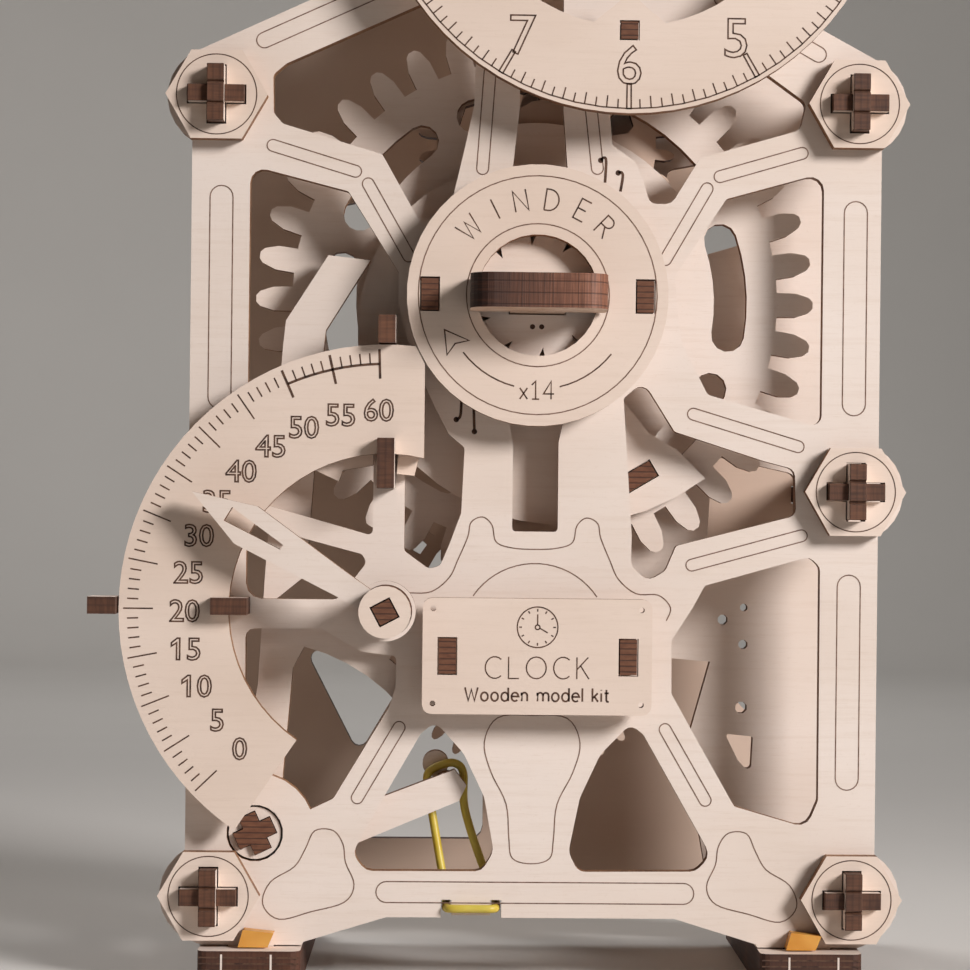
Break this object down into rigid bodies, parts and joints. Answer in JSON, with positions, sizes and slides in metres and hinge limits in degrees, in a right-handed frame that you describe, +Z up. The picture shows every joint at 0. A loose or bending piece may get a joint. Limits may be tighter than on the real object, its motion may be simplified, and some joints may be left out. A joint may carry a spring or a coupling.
{
  "type": "wooden 3d jigsaw model",
  "caption": "Freestanding mechanical table clock of interlocking laser-cut plywood: openwork plates on crossed posts, round hour dial, arc minute scale, gear trains, winding key and pendulum.",
  "frame": {"origin": "centre of the bounding box's footprint, on the ground plane under the feet", "axes": "+Z up, +X to the right seen from the front, +Y towards the back, so the dials face -Y"},
  "size_m": [0.1774, 0.103, 0.3026],
  "materials": {
    "ply": "bare birch plywood faces with browned laser-cut edges",
    "dark_ply": "edge-on birch plywood, browned by the laser, with ply stripes",
    "amber_rubber": "satin translucent amber rubber",
    "yellow_rubber": "satin yellow rubber band"
  },
  "bodies": {
    "frame": {"front_plate": "ply", "middle_plate": "ply", "back_plate": "ply", "post_lower_left": "ply", "front_cap_lower_left": "ply", "back_cap_lower_left": "ply", "post_upper_left": "ply", "front_cap_upper_left": "ply", "back_cap_upper_left": "ply", "post_lower_right": "ply", "front_cap_lower_right": "ply", "back_cap_lower_right": "ply", "post_middle_right": "ply", "front_cap_middle_right": "ply", "back_cap_middle_right": "ply", "post_upper_right": "ply", "front_cap_upper_right": "ply", "back_cap_upper_right": "ply", "foot_left": "ply", "foot_right": "ply", "foot_rubber_left": "amber_rubber", "foot_rubber_right": "amber_rubber", "hour_dial": "ply", "dial_peg_lower": "dark_ply", "dial_peg_left": "dark_ply", "minute_scale": "ply", "scale_clip_left": "dark_ply", "scale_clip_top": "dark_ply", "winding_plate": "ply", "nameplate": "ply", "winding_plate_peg_left": "dark_ply", "winding_plate_peg_right": "dark_ply", "nameplate_peg_left": "dark_ply", "nameplate_peg_right": "dark_ply", "return_band": "yellow_rubber"},
    "key": {"winding_handle": "dark_ply", "ratchet_disc": "ply", "winding_arbor": "ply", "motor_rubber": "amber_rubber"},
    "click": {"ratchet_pawl": "ply"},
    "main": {"main_wheel": "ply", "snail_cam": "ply", "cam_peg": "dark_ply", "hour_pinion": "ply"},
    "idler": {"idler_wheel": "ply", "idler_pinion": "ply"},
    "hour": {"hour_wheel": "ply", "hour_hand": "ply"},
    "second": {"second_pinion": "ply", "second_wheel": "ply"},
    "escape": {"escape_pinion": "ply", "escape_wheel": "ply"},
    "pendulum": {"anchor": "ply", "pendulum_rod": "ply", "pendulum_bob": "ply"},
    "hand": {"minute_hand": "ply", "hand_cap": "ply", "hand_arbor": "ply"},
    "lever": {"rack_lever": "ply", "lever_shaft": "dark_ply"}
  },
  "joints": [
    {"name": "winding_key", "type": "hinge", "parent": "frame", "child": "key", "pos_m": [0.0074, -0.0282, 0.1506], "axis": [0, 1, 0], "continuous": true},
    {"name": "click_pivot", "type": "hinge", "parent": "frame", "child": "click", "pos_m": [0.0269, -0.0282, 0.165], "axis": [0, 1, 0], "range_deg": [0, 8]},
    {"name": "main_wheel_spin", "type": "hinge", "parent": "frame", "child": "main", "pos_m": [0.0074, -0.0282, 0.1506], "axis": [0, 1, 0], "continuous": true},
    {"name": "idler_spin", "type": "hinge", "parent": "frame", "child": "idler", "pos_m": [0.00967, -0.0282, 0.18653], "axis": [0, 1, 0], "continuous": true},
    {"name": "hour_hand_spin", "type": "hinge", "parent": "frame", "child": "hour", "pos_m": [0.0265, -0.0282, 0.2462], "axis": [0, 1, 0], "continuous": true},
    {"name": "second_wheel_spin", "type": "hinge", "parent": "frame", "child": "second", "pos_m": [0.0074, -0.0282, 0.0776], "axis": [0, 1, 0], "continuous": true},
    {"name": "escape_wheel_spin", "type": "hinge", "parent": "frame", "child": "escape", "pos_m": [0.0272, -0.0282, 0.11189], "axis": [0, 1, 0], "continuous": true},
    {"name": "minute_hand_swing", "type": "hinge", "parent": "frame", "child": "hand", "pos_m": [-0.0248, -0.0282, 0.0819], "axis": [0, 1, 0], "range_deg": [-75.4, 56.6]},
    {"name": "lever_pivot", "type": "hinge", "parent": "frame", "child": "lever", "pos_m": [-0.0531, -0.0282, 0.0327], "axis": [0, 1, 0], "range_deg": [-8.2, 10.9], "deforming": ["return_band"]},
    {"name": "pendulum_swing", "type": "hinge", "parent": "frame", "child": "pendulum", "pos_m": [0.0272, -0.0282, 0.14089], "axis": [0, 1, 0], "range_deg": [-3, 3]}
  ],
  "couplings": [
    {"joint": "idler_spin", "follows": "main_wheel_spin", "ratio": -0.33333},
    {"joint": "hour_hand_spin", "follows": "main_wheel_spin", "ratio": 0.083333},
    {"joint": "second_wheel_spin", "follows": "main_wheel_spin", "ratio": -4},
    {"joint": "escape_wheel_spin", "follows": "main_wheel_spin", "ratio": 18},
    {"joint": "lever_pivot", "follows": "minute_hand_swing", "ratio": -0.14286}
  ]
}
